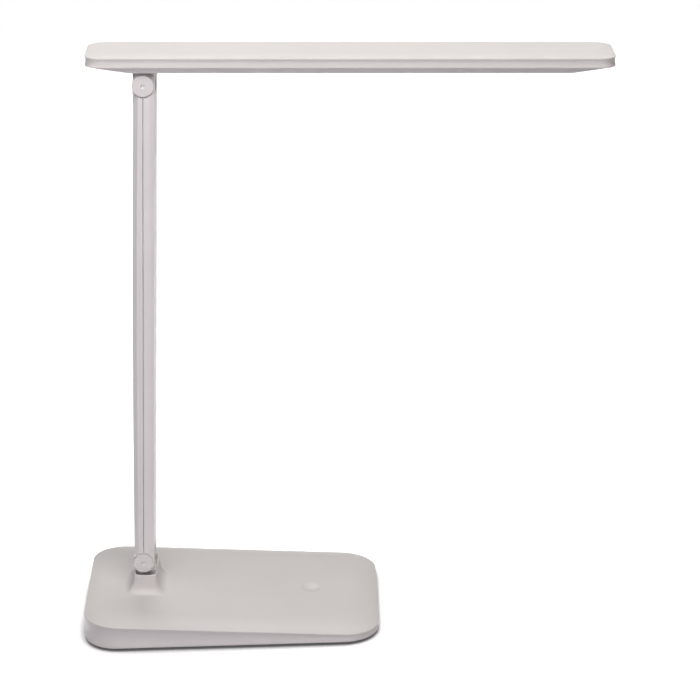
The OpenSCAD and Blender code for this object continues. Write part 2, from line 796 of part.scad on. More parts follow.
module head_bracket() {
    flange_half_w = head_screw_y + bracket_edge;
    color(shell_white) at_head() difference() {
        union() {
            y_cylinder(knuckle_r, -knuckle_w / 2, knuckle_w / 2);
            translate([-knuckle_r, -knuckle_w / 2, 0]) cube([2 * knuckle_r, knuckle_w, bracket_top]);
            translate([-knuckle_r, -flange_half_w, tray_floor])
                cube([knuckle_r + bracket_l, 2 * flange_half_w, bracket_t]);
        }
        y_cylinder(pin_r + pin_gap, -knuckle_w, knuckle_w);
        head_screw_places() {
            cylinder(r = screw_r + fit_gap, h = bracket_top + cut);
            translate([0, 0, tray_floor - eps])
                cylinder(r = screw_head_r + fit_gap, h = screw_sink + 2 * eps);
        }
    }
}

module head_screws() {
    color(steel_grey) at_head() head_screw_places()
        translate([0, 0, tray_floor + screw_recess]) small_screw();
}

base_shell();
bottom_cover();
anti_slip_pad();
ballast_plate();
inlet_board();
power_inlet();
touch_board();
touch_pad();
base_screws();
arm_front_shell();
arm_rear_cover();
arm_stiffener();
arm_leads();
hinge_screws();
hinge_nuts();
friction_washers();
lower_hinge_caps();
upper_hinge_caps();
head_top_shell();
head_tray();
diffuser();
light_guide();
reflector_sheet();
led_boards();
head_bracket();
head_screws();
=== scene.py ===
import math

import bmesh
import bpy
from mathutils import Matrix, Vector


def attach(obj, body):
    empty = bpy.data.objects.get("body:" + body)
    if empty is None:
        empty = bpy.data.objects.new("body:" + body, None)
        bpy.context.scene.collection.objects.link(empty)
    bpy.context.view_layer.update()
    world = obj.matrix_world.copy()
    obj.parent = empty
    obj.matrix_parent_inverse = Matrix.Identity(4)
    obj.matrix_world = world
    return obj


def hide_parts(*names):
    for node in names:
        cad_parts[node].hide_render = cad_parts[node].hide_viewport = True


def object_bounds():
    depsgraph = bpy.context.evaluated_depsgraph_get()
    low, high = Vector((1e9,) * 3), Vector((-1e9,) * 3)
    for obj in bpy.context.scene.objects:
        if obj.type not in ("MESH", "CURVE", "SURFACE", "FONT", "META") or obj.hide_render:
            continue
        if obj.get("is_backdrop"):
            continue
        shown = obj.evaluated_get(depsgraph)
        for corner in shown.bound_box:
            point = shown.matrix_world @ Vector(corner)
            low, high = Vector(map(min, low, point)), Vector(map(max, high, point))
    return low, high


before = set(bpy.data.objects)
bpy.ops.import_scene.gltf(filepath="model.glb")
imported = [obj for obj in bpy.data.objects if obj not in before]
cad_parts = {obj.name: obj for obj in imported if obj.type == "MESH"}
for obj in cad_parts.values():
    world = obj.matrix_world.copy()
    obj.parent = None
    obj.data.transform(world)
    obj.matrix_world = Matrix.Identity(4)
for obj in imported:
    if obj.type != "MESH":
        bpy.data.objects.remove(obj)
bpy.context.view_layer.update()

# Base shell
# One moulding in white plastic: a low wedge with a crisp rim, a crowned top and slightly hollow
# walls. The pedestal of the lower hinge grows out of it, and a dish marks the touch control.
mm = 0.001
base_l, base_w, base_corner_r = 176 * mm, 116 * mm, 21 * mm
base_rim_h, base_crown, base_margin, base_wall = 11.3 * mm, 2.6 * mm, 18 * mm, 2.4 * mm
base_slope = math.radians(3.64)
base_edge_z, corner_draw, crown_power = 1.9 * mm, 0.4, 2.5
dish_x, dish_r, dish_depth, dish_lip = 47.7 * mm, 6.25 * mm, 1.4 * mm, 0.45 * mm
axis_h, shoulder_drop = 20.1 * mm, 7.7 * mm
boss_l, boss_w, boss_shift, boss_corner_r = 13.8 * mm, 31 * mm, 1.4 * mm, 2.4 * mm
foot_r, flank_reach, lip_r = 4.6 * mm, 5.6 * mm, 0.4 * mm
cradle_share, cradle_depth, left_bend, right_bend = 0.34, 0.3 * mm, 12.0, 15.0
hollow_gap, hollow_wall, hollow_depth = 0.6 * mm, 1.1 * mm, 4 * mm
knuckle_r, knuckle_w, knuckle_edge_r, knuckle_root = 6.1 * mm, 12.8 * mm, 0.35 * mm, 2 * mm
pin_r = 2.05 * mm
wall_lip, wall_top, wall_hollow = 0.9 * mm, 0.35 * mm, 0.06
inlet_z, inlet_w, inlet_h, mouth_depth = 7.8 * mm, 9.3 * mm, 3.7 * mm, 4 * mm
low_hinge = Vector((-52.6 * mm, 0.0, 37.392 * mm))


def tilted(place, angle):
    """The frame at a place, turned about Y."""
    return Matrix.Translation(place) @ Matrix.Rotation(angle, 4, "Y")


def rounded_face(bm, length, width, radius, segments):
    """A level face with rounded corners about the origin, and its spokes: for each of its
    points the corner that it belongs to and the direction in which it stands from there."""
    before = set(bm.faces)
    grid = bmesh.ops.create_grid(bm, x_segments=1, y_segments=1, size=0.5)["verts"]
    bmesh.ops.scale(bm, vec=(length, width, 1.0), verts=grid)
    bmesh.ops.bevel(bm, geom=grid, offset=radius, offset_type="OFFSET", segments=segments,
                    profile=0.5, affect="VERTICES", material=-1)
    face = [found for found in bm.faces if found not in before][0]
    spokes = []
    for vert in face.verts:
        corner = Vector((math.copysign(1.0, vert.co.x), math.copysign(1.0, vert.co.y)))
        core = Vector((corner.x * (length / 2 - radius), corner.y * (width / 2 - radius)))
        spokes.append((corner, (vert.co.xy - core) / radius))
    return face, spokes


def ring(spokes, length, width, radius, height, shift=0.0, radius_y=None):
    """One point on each spoke, for a rounded outline of that size at a height."""
    if radius_y is None:
        radius_y = radius
    return [Vector((shift + corner.x * (length / 2 - radius) + out.x * radius,
                    corner.y * (width / 2 - radius_y) + out.y * radius_y, height))
            for corner, out in spokes]


def set_ring(face, points):
    for vert, point in zip(face.verts, points):
        vert.co = point
    return face


def grow_ring(bm, face, points):
    """Extrudes a face and puts the points of the new one in their places."""
    return set_ring(bmesh.ops.extrude_discrete_faces(bm, faces=[face])["faces"][0], points)


def steps(count, first=0.0, last=1.0):
    return [first + (last - first) * i / count for i in range(count + 1)]


def cut_across(bm, places):
    """Cuts the faces across at each of the places along X."""
    geom = bm.verts[:] + bm.edges[:] + bm.faces[:]
    for x in places:
        geom = bmesh.ops.bisect_plane(bm, geom=geom, dist=1e-7, plane_co=(x, 0.0, 0.0),
                                      plane_no=(1.0, 0.0, 0.0))["geom"]


# the pedestal, drawn in the frame of the rim: blend, wall, rolled lip and cradle
rim_frame = tilted((0.0, 0.0, base_rim_h), base_slope)
to_rim = rim_frame.inverted()
axis_place = to_rim @ low_hinge
boss_x = axis_place.x + boss_shift
boss_top = base_crown + axis_h - shoulder_drop
bm = bmesh.new()
face, spokes = rounded_face(bm, boss_l, boss_w, boss_corner_r, 8)


def spread(up, reach, rise):
    """How far a hollow blend of that reach and rise stands out at a height."""
    return reach * (1 - math.sqrt(1 - (1 - min(up / rise, 1.0)) ** 2))


rise = boss_top - base_crown - lip_r
for share in steps(20):
    up = rise * share ** 2
    out_x, out_y = spread(up, flank_reach, rise), spread(up, foot_r, foot_r)
    points = ring(spokes, boss_l + 2 * out_x, boss_w + 2 * out_y, boss_corner_r + out_x,
                  base_crown + up, boss_x, boss_corner_r + out_y)
    face = set_ring(face, points) if share == 0.0 else grow_ring(bm, face, points)
for turn in steps(4, 0.0, math.pi / 2):
    draw, down = lip_r * (1 - math.cos(turn)), lip_r * (1 - math.sin(turn))
    face = grow_ring(bm, face, ring(spokes, boss_l - 2 * draw, boss_w - 2 * draw,
                                    boss_corner_r - draw, boss_top - down, boss_x))
cut_across(bm, [boss_x + share * boss_l for share in steps(10, -cradle_share, cradle_share)])
for vert in bm.verts:
    if vert.co.z > boss_top - 1.5 * lip_r:
        away = vert.co.x - axis_place.x
        vert.co.z += (left_bend if away < 0 else right_bend) * away * away - cradle_depth

# the touch dish: a soft rim and a bowl
dish = bmesh.ops.create_circle(bm, cap_ends=True, segments=96, radius=1.0)["verts"]
face = dish[0].link_faces[0]
compass = [vert.co.copy() for vert in face.verts]


def dish_ring(radius, depth):
    return [Vector((dish_x + out.x * radius, out.y * radius, base_crown - depth))
            for out in compass]


face = set_ring(face, dish_ring(dish_r + dish_lip, 0.0))
for share in steps(4, 0.25, 1.0):
    depth = dish_depth * share ** 2 * (2 * dish_lip / dish_r)
    face = grow_ring(bm, face, dish_ring(dish_r + dish_lip * (1 - 2 * share), depth))
rim_depth, rim_radius = depth, dish_r - dish_lip
for share in (0.86, 0.72, 0.57, 0.42, 0.27, 0.12):
    depth = rim_depth + (dish_depth - rim_depth) * (1 - share ** 2)
    face = grow_ring(bm, face, dish_ring(rim_radius * share, depth))
bmesh.ops.poke(bm, faces=[face])

# the wedge: ceiling, inner wall, lower lip, hollow outer wall, rim and crown
face, spokes = rounded_face(bm, base_l, base_w, base_corner_r, 16)


def crown_ring(inset, drop, share):
    """A ring of the crowned top, at a share of the margin in from its rim."""
    length = (base_l - 2 * inset) / math.cos(base_slope) - 2 * base_margin * share
    width = base_w - 2 * inset - 2 * base_margin * share
    radius = (base_corner_r - inset) * (1 - corner_draw * share)
    return ring(spokes, length, width, radius, base_crown * (1 - (1 - share) ** crown_power) - drop)


def wall_ring(share, lift, inset, hollow=0.0):
    """A ring of the side wall, whose rim falls to the right. lift is measured from its lower
    edge, share is the part of the height above the lip, and hollow grows with that height."""
    points = []
    plan = ring(spokes, base_l, base_w, base_corner_r, 0.0)
    nearer = ring(spokes, base_l - 2 * mm, base_w - 2 * mm, base_corner_r - mm, 0.0)
    for outer, inner in zip(plan, nearer):
        height = base_rim_h - outer.x * math.tan(base_slope) - base_edge_z - wall_ends
        point = outer.lerp(inner, (inset + hollow * height) / mm)
        point.z = base_edge_z + lift + share * height
        points.append(to_rim @ point)
    return points


wall_ends = wall_lip + wall_top
face = set_ring(face, crown_ring(base_wall, base_wall, 1.0))
ceiling = face.edges[:]
for share in (0.75, 0.5, 0.25, 0.0):
    face = grow_ring(bm, face, crown_ring(base_wall, base_wall, share))
for lift, inset in ((0.0, base_wall), (0.0, 0.45 * mm), (0.06 * mm, 0.2 * mm),
                    (0.2 * mm, 0.06 * mm), (0.4 * mm, 0.0)):
    face = grow_ring(bm, face, wall_ring(0.0, lift, inset))
for share in steps(12):
    face = grow_ring(bm, face, wall_ring(share, wall_lip, 0.0,
                                         wall_hollow * 4 * share * (1 - share)))
for lift, inset in ((0.16 * mm, 0.02 * mm), (0.3 * mm, 0.09 * mm), (0.38 * mm, 0.2 * mm)):
    face = grow_ring(bm, face, wall_ring(1.0, wall_lip + lift, inset))
for share in (0.022, 0.06, 0.11, 0.17, 0.24, 0.32, 0.41, 0.51, 0.62, 0.74, 0.87, 1.0):
    face = grow_ring(bm, face, crown_ring(0.0, 0.0, share))
bmesh.ops.delete(bm, geom=[face], context="FACES_ONLY")
bmesh.ops.edgeloop_fill(bm, edges=ceiling)
loops = [edge for edge in bm.edges if edge.is_boundary]
bmesh.ops.triangle_fill(bm, use_beauty=True, edges=loops, normal=(0.0, 0.0, 1.0))
bmesh.ops.recalc_face_normals(bm, faces=bm.faces[:])


def shaped(bm, tool, operation="DIFFERENCE"):
    """The solid cut, joined or crossed with a second solid. Both are used up."""
    parts = []
    for solid in (bm, tool):
        mesh = bpy.data.meshes.new("blank")
        solid.to_mesh(mesh)
        solid.free()
        parts.append(bpy.data.objects.new("blank", mesh))
        bpy.context.scene.collection.objects.link(parts[-1])
    change = parts[0].modifiers.new("change", "BOOLEAN")
    change.operation = operation
    change.solver = "EXACT"
    change.object = parts[1]
    bpy.context.view_layer.update()
    result = bmesh.new()
    result.from_mesh(parts[0].evaluated_get(bpy.context.evaluated_depsgraph_get()).to_mesh())
    for part in parts:
        mesh = part.data
        bpy.data.objects.remove(part)
        bpy.data.meshes.remove(mesh)
    bmesh.ops.remove_doubles(result, verts=result.verts[:], dist=1e-6)
    return result


def rod(radius, low, high, place=(0.0, 0.0, 0.0), segments=64):
    """A round rod along Y from low to high, about a place in X and Z."""
    bm = bmesh.new()
    turn = Matrix.Rotation(-math.pi / 2, 4, "X")
    shift = Matrix.Translation((place[0], (low + high) / 2, place[2]))
    bmesh.ops.create_cone(bm, cap_ends=True, segments=segments, radius1=radius, radius2=radius,
                          depth=high - low, matrix=shift @ turn)
    return bm


def block(low, high):
    """A plain block between two corners."""
    bm = bmesh.new()
    low, high = Vector(low), Vector(high)
    size = Matrix.Diagonal((*(high - low), 1.0))
    bmesh.ops.create_cube(bm, size=1.0, matrix=Matrix.Translation((low + high) / 2) @ size)
    return bm


# the mouth of the power inlet in the left end wall
mouth = block((-base_l / 2 - mm, -inlet_w / 2, inlet_z - inlet_h / 2),
              (-base_l / 2 + mouth_depth, inlet_w / 2, inlet_z + inlet_h / 2))
upright = [edge for edge in mouth.edges if abs((edge.verts[0].co - edge.verts[1].co).x) > mm]
bmesh.ops.bevel(mouth, geom=upright, offset=inlet_h * 0.499, offset_type="OFFSET", segments=10,
                profile=0.5, affect="EDGES", material=-1)
bm.transform(rim_frame)
bm = shaped(bm, mouth)

# the hollows behind the lip, in which the ears of the arm turn
for sign in (-1.0, 1.0):
    near, far = sign * (knuckle_w / 2 + hollow_gap), sign * (boss_w / 2 - hollow_wall)
    hollow = block((boss_x - boss_l / 2 + hollow_wall, min(near, far), boss_top - hollow_depth),
                   (boss_x + boss_l / 2 - hollow_wall, max(near, far), boss_top + 2 * mm))
    hollow.transform(rim_frame)
    bm = shaped(bm, hollow)


def hinge_tab(radius, reach, width, edge_r):
    """A tab with a round end about the origin, which runs on along +Z: its outline is spun
    half round, drawn out and filled, and its edges are rounded."""
    bm = bmesh.new()
    start = bm.verts.new((radius, -width / 2, 0.0))
    bmesh.ops.spin(bm, geom=[start], cent=(0.0, 0.0, 0.0), axis=(0.0, 1.0, 0.0),
                   angle=math.pi, steps=40)
    ends = [vert for vert in bm.verts if abs(vert.co.z) < 1e-6]
    drawn = bmesh.ops.extrude_vert_indiv(bm, verts=ends)["verts"]
    bmesh.ops.translate(bm, vec=(0.0, 0.0, reach), verts=drawn)
    bm.edges.new(drawn)
    face = bmesh.ops.contextual_create(bm, geom=bm.edges[:])["faces"][0]
    far = bmesh.ops.extrude_face_region(bm, geom=[face])["geom"]
    far = [item for item in far if isinstance(item, bmesh.types.BMVert)]
    bmesh.ops.translate(bm, vec=(0.0, width, 0.0), verts=far)
    bmesh.ops.recalc_face_normals(bm, faces=bm.faces[:])
    sides = [edge for edge in bm.edges if edge.calc_face_angle(0.0) > 1.0]
    bmesh.ops.bevel(bm, geom=sides, offset=edge_r, offset_type="OFFSET", segments=3,
                    profile=0.5, affect="EDGES", material=-1)
    return bm


def add_solid(bm, other):
    """Puts a second solid into the first one's mesh."""
    mesh = bpy.data.meshes.new("blank")
    other.to_mesh(mesh)
    other.free()
    bm.from_mesh(mesh)
    bpy.data.meshes.remove(mesh)


# the knuckle and its neck, between the ears of the arm
knuckle = shaped(hinge_tab(knuckle_r, shoulder_drop + knuckle_root, knuckle_w, knuckle_edge_r),
                 rod(pin_r, -knuckle_w, knuckle_w))
knuckle.transform(tilted(low_hinge, base_slope) @ Matrix.Rotation(math.pi, 4, "Y"))
add_solid(bm, knuckle)


def speckle(nodes, links, scale, detail, low, high, stretch=(1.0, 1.0, 1.0)):
    """A noise of that scale in the object's own place, spread between two values."""
    place = nodes.new("ShaderNodeTexCoord")
    mapping = nodes.new("ShaderNodeMapping")
    mapping.inputs["Scale"].default_value = stretch
    links.new(place.outputs["Object"], mapping.inputs["Vector"])
    noise = nodes.new("ShaderNodeTexNoise")
    noise.inputs["Scale"].default_value = scale
    noise.inputs["Detail"].default_value = detail
    links.new(mapping.outputs["Vector"], noise.inputs["Vector"])
    levels = nodes.new("ShaderNodeMapRange")
    levels.inputs["From Min"].default_value = 0.3
    levels.inputs["From Max"].default_value = 0.7
    levels.inputs["To Min"].default_value = low
    levels.inputs["To Max"].default_value = high
    links.new(noise.outputs["Fac"], levels.inputs["Value"])
    return levels.outputs["Result"]


tone_scale, gloss_scale = 24.0, 160.0


def finish_of(name, colour, tone=0.02, roughness=0.42, uneven=0.05, grain=0.12, grain_scale=2600.0,
              depth=0.03, stretch=(1.0, 1.0, 1.0), **sockets):
    """A material whose tone and gloss are slightly uneven and whose surface has a fine grain,
    such as the spark-eroded texture of a mould or, stretched, the lines of a brushed sheet."""
    material = bpy.data.materials.new(name)
    material.use_nodes = True
    nodes, links = material.node_tree.nodes, material.node_tree.links
    shader = nodes["Principled BSDF"]
    for socket, value in sockets.items():
        shader.inputs[socket.replace("_", " ")].default_value = value
    tint = nodes.new("ShaderNodeVectorMath")
    tint.operation = "SCALE"
    tint.inputs[0].default_value = colour
    links.new(speckle(nodes, links, tone_scale, 3.0, 1.0 - tone, 1.0 + tone, stretch),
              tint.inputs["Scale"])
    links.new(tint.outputs["Vector"], shader.inputs["Base Color"])
    links.new(speckle(nodes, links, gloss_scale, 2.0, roughness - uneven, roughness + uneven,
                      stretch), shader.inputs["Roughness"])
    bump = nodes.new("ShaderNodeBump")
    bump.inputs["Strength"].default_value = grain
    bump.inputs["Distance"].default_value = depth * mm
    links.new(speckle(nodes, links, grain_scale, 2.0, 0.0, 1.0, stretch), bump.inputs["Height"])
    links.new(bump.outputs["Normal"], shader.inputs["Normal"])
    return material


def place_piece(name, bm, body, node, material, rounding=0.0, frame_at=None):
    """Makes the bmesh a piece of the object that stands for a CAD node."""
    if frame_at is not None:
        bm.transform(frame_at)
    for face in bm.faces:
        face.smooth = True
    mesh = bpy.data.meshes.new(name)
    bm.to_mesh(mesh)
    bm.free()
    mesh.materials.append(material)
    piece = bpy.data.objects.new(name, mesh)
    bpy.context.scene.collection.objects.link(piece)
    if rounding:
        edges = piece.modifiers.new("rounded_edges", "BEVEL")
        edges.width = rounding
        edges.segments = 3
        edges.limit_method = "ANGLE"
        edges.angle_limit = math.radians(28)
        edges.use_clamp_overlap = False
    even = piece.modifiers.new("even_shading", "WEIGHTED_NORMAL")
    even.keep_sharp = True
    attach(piece, body)
    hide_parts(node)
    return piece


shell_white = finish_of("shell_white", (0.80, 0.775, 0.755))
place_piece("base_housing", bm, "base", "base_shell", shell_white)


def dress(names, material):
    """Gives CAD nodes that are carried over the material."""
    for name in names:
        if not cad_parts[name].material_slots:
            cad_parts[name].data.materials.append(material)
        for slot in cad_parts[name].material_slots:
            slot.material = material


# Bottom cover, anti-slip pad and ballast
# The cover is a flat moulded plate that four steel screws hold in the shell. A thin rubber pad
# is glued under it, and a steel plate lies on it so that the lamp can't tip over.
dress(["bottom_cover"], finish_of("cover_grey", (0.36, 0.33, 0.345), roughness=0.5, grain=0.2))
dress(["anti_slip_pad"], finish_of("rubber_grey", (0.20, 0.185, 0.19), roughness=0.8, grain=0.35,
                                   grain_scale=900.0, depth=0.08))
dress(["ballast_plate"], finish_of("rolled_steel", (0.50, 0.51, 0.53), tone=0.08, roughness=0.38,
                                   uneven=0.1, stretch=(0.15, 1.0, 1.0), Metallic=1.0))
screw_steel = finish_of("screw_steel", (0.56, 0.57, 0.58), tone=0.05, roughness=0.3, Metallic=1.0)
dress(["base_screws", "hinge_screws", "hinge_nuts", "head_screws"], screw_steel)

# Power inlet, boards and touch pad
# The inlet is a folded and plated steel can on a small green board behind the left end wall.
# Under the touch dish a round board feels the finger through a pad of conductive foam.
dress(["power_inlet"], finish_of("plated_steel", (0.62, 0.61, 0.59), tone=0.04, roughness=0.24,
                                 Metallic=1.0))


def circuit_board(name, mask, trace):
    """A solder mask, with copper runs below it that shine through."""
    material = finish_of(name, mask, tone=0.05, roughness=0.3, uneven=0.06, grain=0.1)
    nodes, links = material.node_tree.nodes, material.node_tree.links
    shader = nodes["Principled BSDF"]
    place = nodes.new("ShaderNodeTexCoord")
    cells = nodes.new("ShaderNodeTexVoronoi")
    cells.feature = "DISTANCE_TO_EDGE"
    cells.inputs["Scale"].default_value = 420.0
    links.new(place.outputs["Object"], cells.inputs["Vector"])
    run = nodes.new("ShaderNodeMapRange")
    run.inputs["From Min"].default_value = 0.04
    run.inputs["From Max"].default_value = 0.08
    run.inputs["To Min"].default_value = 1.0
    run.inputs["To Max"].default_value = 0.0
    links.new(cells.outputs["Distance"], run.inputs["Value"])
    blend = nodes.new("ShaderNodeMix")
    blend.data_type = "RGBA"
    links.new(run.outputs["Result"], blend.inputs["Factor"])
    links.new(shader.inputs["Base Color"].links[0].from_socket, blend.inputs["A"])
    blend.inputs["B"].default_value = (*trace, 1.0)
    links.new(blend.outputs["Result"], shader.inputs["Base Color"])
    return material


dress(["inlet_board", "touch_board"], circuit_board("circuit_board", (0.03, 0.17, 0.08),
                                                    (0.06, 0.27, 0.13)))
dress(["touch_pad"], finish_of("touch_foam", (0.045, 0.045, 0.05), tone=0.15, roughness=0.95,
                               grain=0.7, grain_scale=1300.0, depth=0.15))

# Front shell of the arm
# The right-hand half of the arm in white plastic, with a fork of two ears at each end. A facet on
# its outer edges stops at a round seat for each hinge cap, and a fine groove runs down the seam.
arm_l, arm_w, front_t = 296.3 * mm, 30.4 * mm, 6.5 * mm
arm_lean = math.radians(2.92)
ear_in, ear_left, cover_start, bridge_z = 6.9 * mm, 5.9 * mm, 5.3 * mm, 6.5 * mm
facet_w, facet_d, seam_half, seam_depth = 2.5 * mm, 0.7 * mm, 0.22 * mm, 0.9 * mm
seat_depth, seat_r, arm_edge_r = 1.0 * mm, 6.55 * mm, 0.22 * mm
pocket_r, pocket_floor, arm_wall, fork_root = 4 * mm, 10.2 * mm, 1.7 * mm, 14 * mm
arm_frame = tilted(low_hinge, arm_lean)
bm = bmesh.new()
around = {"cent": (0.0, 0.0, 0.0), "axis": (0.0, 1.0, 0.0)}
side = -arm_w / 2
notch_top = bm.verts.new((0.0, side, front_t))
notch_end = bmesh.ops.spin(bm, geom=[notch_top], angle=-math.acos(cover_start / front_t),
                           steps=8, **around)["geom_last"][0]
low_turn = math.acos(ear_left / front_t)
ear_top = bm.verts.new((-ear_left, side, cover_start))
ear_low = bm.verts.new((-ear_left, side, -front_t * math.sin(low_turn)))
right = bmesh.ops.spin(bm, geom=[ear_low], angle=low_turn - math.pi, steps=40,
                       **around)["geom_last"][0]
right_mid = bm.verts.new((front_t, side, arm_l / 2))
seam_mid = bm.verts.new((0.0, side, arm_l / 2))
for pair in ((notch_end, ear_top), (ear_top, ear_low), (right, right_mid),
             (right_mid, seam_mid), (seam_mid, notch_top)):
    bm.edges.new(pair)
face = bmesh.ops.contextual_create(bm, geom=bm.edges[:])["faces"][0]
inner = bmesh.ops.extrude_face_region(bm, geom=[face])["geom"]
inner = [item for item in inner if isinstance(item, bmesh.types.BMVert)]
bmesh.ops.translate(bm, vec=(0.0, arm_w / 2 - ear_in, 0.0), verts=inner)
bmesh.ops.bisect_plane(bm, geom=bm.verts[:] + bm.edges[:] + bm.faces[:], dist=1e-7,
                       plane_co=(0.0, 0.0, bridge_z), plane_no=(0.0, 0.0, 1.0))
web = [face for face in bm.faces if face.calc_center_median().z > fork_root
       and all(abs(vert.co.y + ear_in) < 1e-6 for vert in face.verts)]
web = bmesh.ops.extrude_discrete_faces(bm, faces=web)["faces"]
bmesh.ops.translate(bm, vec=(0.0, ear_in, 0.0), verts=web[0].verts[:])
middle = [face for face in bm.faces if all(vert.co.z > arm_l / 2 - 1e-6 for vert in face.verts)]
bmesh.ops.delete(bm, geom=web + middle, context="FACES")
bmesh.ops.translate(bm, vec=(0.0, 0.0, -arm_l / 2), verts=bm.verts[:])
for axis in ("Y", "Z"):
    bmesh.ops.mirror(bm, geom=bm.verts[:] + bm.edges[:] + bm.faces[:], axis=axis,
                     merge_dist=1e-6)
bmesh.ops.translate(bm, vec=(0.0, 0.0, arm_l / 2), verts=bm.verts[:])
bmesh.ops.remove_doubles(bm, verts=bm.verts[:], dist=1e-6)
bmesh.ops.recalc_face_normals(bm, faces=bm.faces[:])
for sign in (-1.0, 1.0):
    facet = block((front_t - facet_w, arm_w / 2 - mm, 0.0), (front_t + mm, arm_w / 2 + mm, arm_l))
    for vert in facet.verts:
        if vert.co.y < arm_w / 2:
            vert.co.y = arm_w / 2 - (facet_d * (1 + mm / facet_w) if vert.co.x > front_t else 0.0)
    for place in ((0.0, 0.0, 0.0), (0.0, 0.0, arm_l)):
        facet = shaped(facet, rod(front_t, 0.0, arm_w, place, 128))
    bmesh.ops.scale(facet, vec=(1.0, sign, 1.0), verts=facet.verts[:])
    bmesh.ops.recalc_face_normals(facet, faces=facet.faces[:])
    bm = shaped(bm, facet)
    bm = shaped(bm, block((-mm, sign * arm_w / 2 - seam_depth, front_t),
                          (seam_half, sign * arm_w / 2 + seam_depth, arm_l - front_t)))
for place in ((0.0, 0.0, 0.0), (0.0, 0.0, arm_l)):
    bm = shaped(bm, rod(pin_r, -arm_w, arm_w, place))
    for low in (-arm_w, pocket_floor):
        bm = shaped(bm, rod(pocket_r, low, low + arm_w - pocket_floor, place))
    for low in (-arm_w, arm_w / 2 - seat_depth):
        bm = shaped(bm, rod(seat_r, low, low + arm_w / 2 + seat_depth, place, 128))
bm = shaped(bm, block((-mm, arm_wall - arm_w / 2, fork_root),
                      (front_t - arm_wall, arm_w / 2 - arm_wall, arm_l - fork_root)))
arm_white = finish_of("arm_white", (0.88, 0.86, 0.85))
place_piece("arm_front", bm, "arm", "arm_front_shell", arm_white,
            rounding=arm_edge_r, frame_at=arm_frame)

# Rear cover of the arm
# The left-hand half, slightly bowed from end to end, with a broad bevel down each side. It
# snaps into the front shell and ends in a round notch at each hinge.
rear_t, rear_bow, rear_face_w, rear_bevel_d = 5.7 * mm, 0.6 * mm, 2.8 * mm, 2.6 * mm
notch_r, cover_gap = 6.65 * mm, 0.15 * mm
lean = math.atan2(rear_t - rear_face_w, rear_bevel_d)
cover_z = cover_start + cover_gap
bm = bmesh.new()


def cover_ring(share):
    """The points of the cover's section at a share of its length."""
    bow = rear_bow * math.sin(math.pi * share)
    z = cover_z + share * (arm_l - 2 * cover_z)
    edge = arm_w / 2
    crease = (-rear_face_w - bow / math.cos(lean), edge)
    back = (-rear_t - bow, edge - rear_bevel_d + bow * (1 - math.cos(lean)) / math.sin(lean))
    half = [(0.0, edge), crease, back]
    return [Vector((x, y, z)) for x, y in half] + [Vector((x, -y, z)) for x, y in reversed(half)]


face = bm.faces.new([bm.verts.new(point) for point in cover_ring(0.0)])
for share in steps(28)[1:]:
    face = grow_ring(bm, face, cover_ring(share))
bmesh.ops.holes_fill(bm, edges=[edge for edge in bm.edges if edge.is_boundary])
bmesh.ops.recalc_face_normals(bm, faces=bm.faces[:])
for place in ((0.0, 0.0, 0.0), (0.0, 0.0, arm_l)):
    bm = shaped(bm, rod(notch_r, -arm_w, arm_w, place, 128))
for sign in (-1.0, 1.0):
    bm = shaped(bm, block((-seam_half, sign * arm_w / 2 - seam_depth, -mm),
                          (mm, sign * arm_w / 2 + seam_depth, arm_l + mm)))
bm = shaped(bm, block((arm_wall - rear_t, rear_bevel_d - arm_w / 2, notch_r + arm_wall),
                      (mm, arm_w / 2 - rear_bevel_d, arm_l - notch_r - arm_wall)))
place_piece("arm_back", bm, "arm", "arm_rear_cover", arm_white,
            rounding=arm_edge_r, frame_at=arm_frame)

# Stiffener and leads in the arm
# A rolled strip of aluminium stiffens the arm between the forks, and the four leads to the
# head lie along it as a flat ribbon in soft grey sheathing.
dress(["arm_stiffener"], finish_of("arm_aluminium", (0.66, 0.67, 0.69), tone=0.04, roughness=0.34,
                                   stretch=(1.0, 1.0, 0.05), Metallic=1.0))
dress(["arm_leads"], finish_of("lead_sheath", (0.30, 0.30, 0.31), roughness=0.55, grain=0.1))

# Hinge screws, washers and caps
# A steel screw and nut clamp each fork on its knuckle between two brass friction washers. The
# caps that hide them are white discs with a small dimple, and plug into pockets in the ears.
dress(["friction_washers"], finish_of("washer_brass", (0.62, 0.47, 0.22), tone=0.07,
                                      roughness=0.3, uneven=0.08, Metallic=1.0))
cap_white = finish_of("cap_white", (0.84, 0.815, 0.80), roughness=0.38)
cap_proud, cap_bevel, soft_edge = 0.7 * mm, 0.4 * mm, 0.12 * mm
plug_r, plug_l, dimple_r = 3.85 * mm, 1.8 * mm, 1.35 * mm


